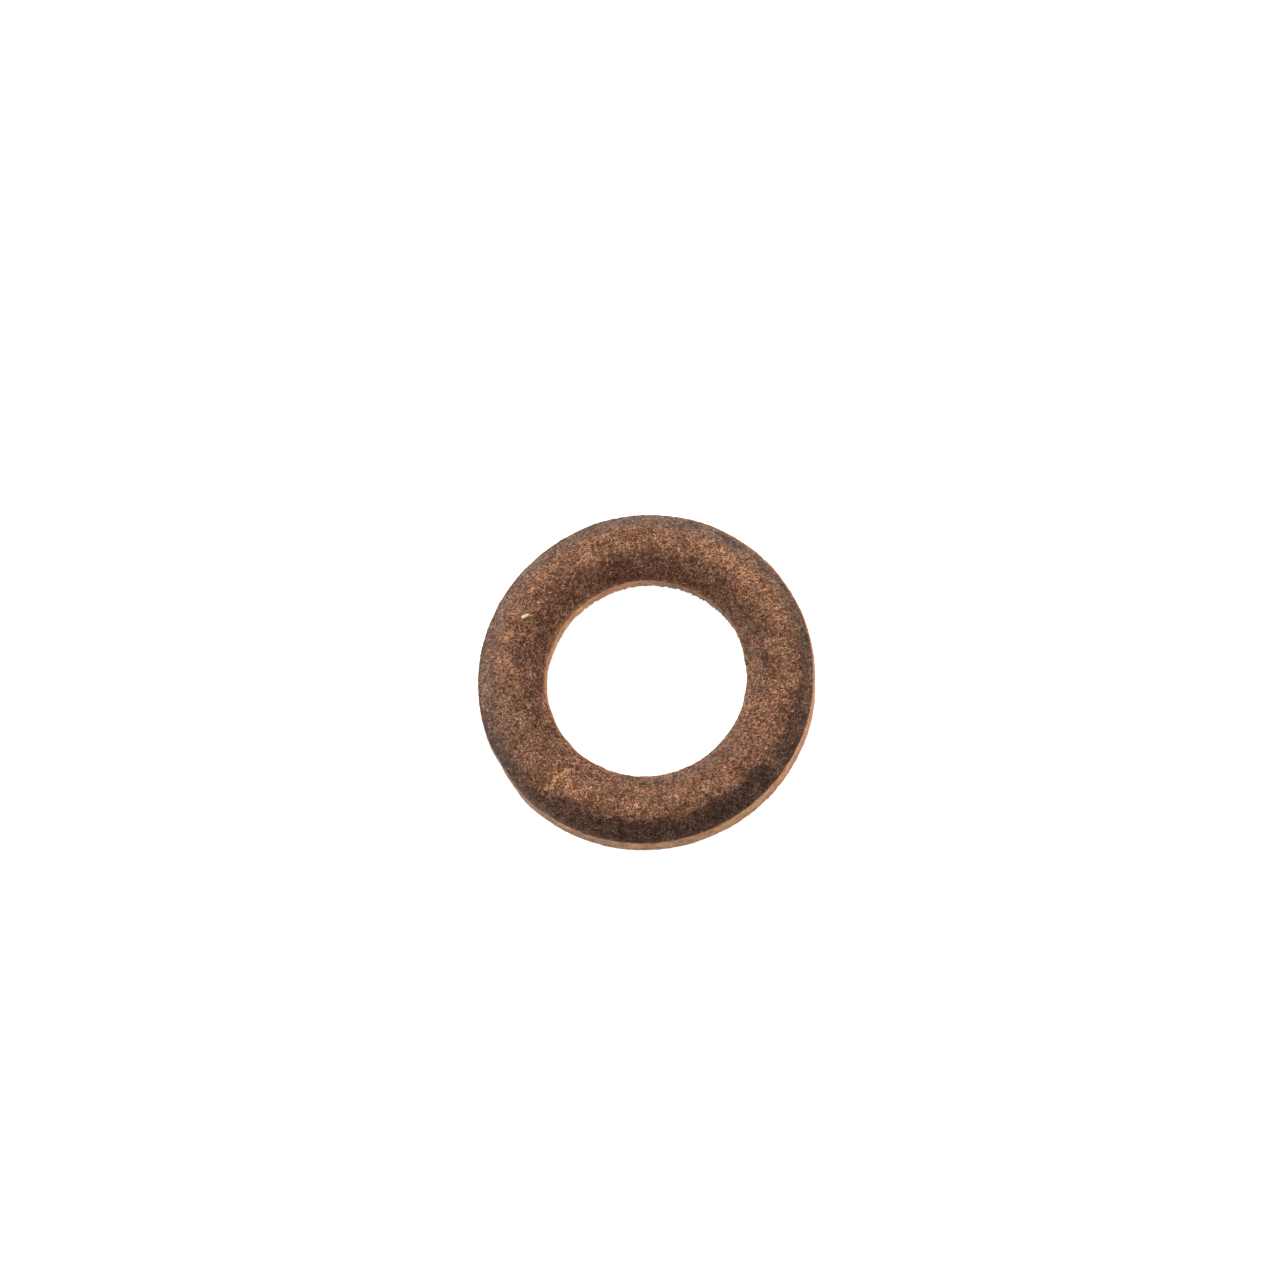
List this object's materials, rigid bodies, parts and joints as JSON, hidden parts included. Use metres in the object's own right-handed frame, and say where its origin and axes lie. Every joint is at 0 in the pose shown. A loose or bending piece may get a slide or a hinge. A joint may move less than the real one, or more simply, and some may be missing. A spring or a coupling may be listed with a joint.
{
  "type": "leather v-packing ring",
  "caption": "Moulded leather ring of inverted vee section: rounded crown, two sloping flanks, vertical cut walls and a vee groove underneath.",
  "frame": {"origin": "on the ring's axis, at the level of the outer lip's land, which it rests on", "axes": "+Z along the ring's axis, from the open side of the vee towards its crown; X and Y are free, as the ring is round"},
  "size_m": [0.0308, 0.0308, 0.0043],
  "materials": {
    "leather": "fibrous flesh side out, dull, dark brown with copper-coloured fibres"
  },
  "bodies": {
    "root": {"packing_ring": "leather"}
  },
  "joints": []
}
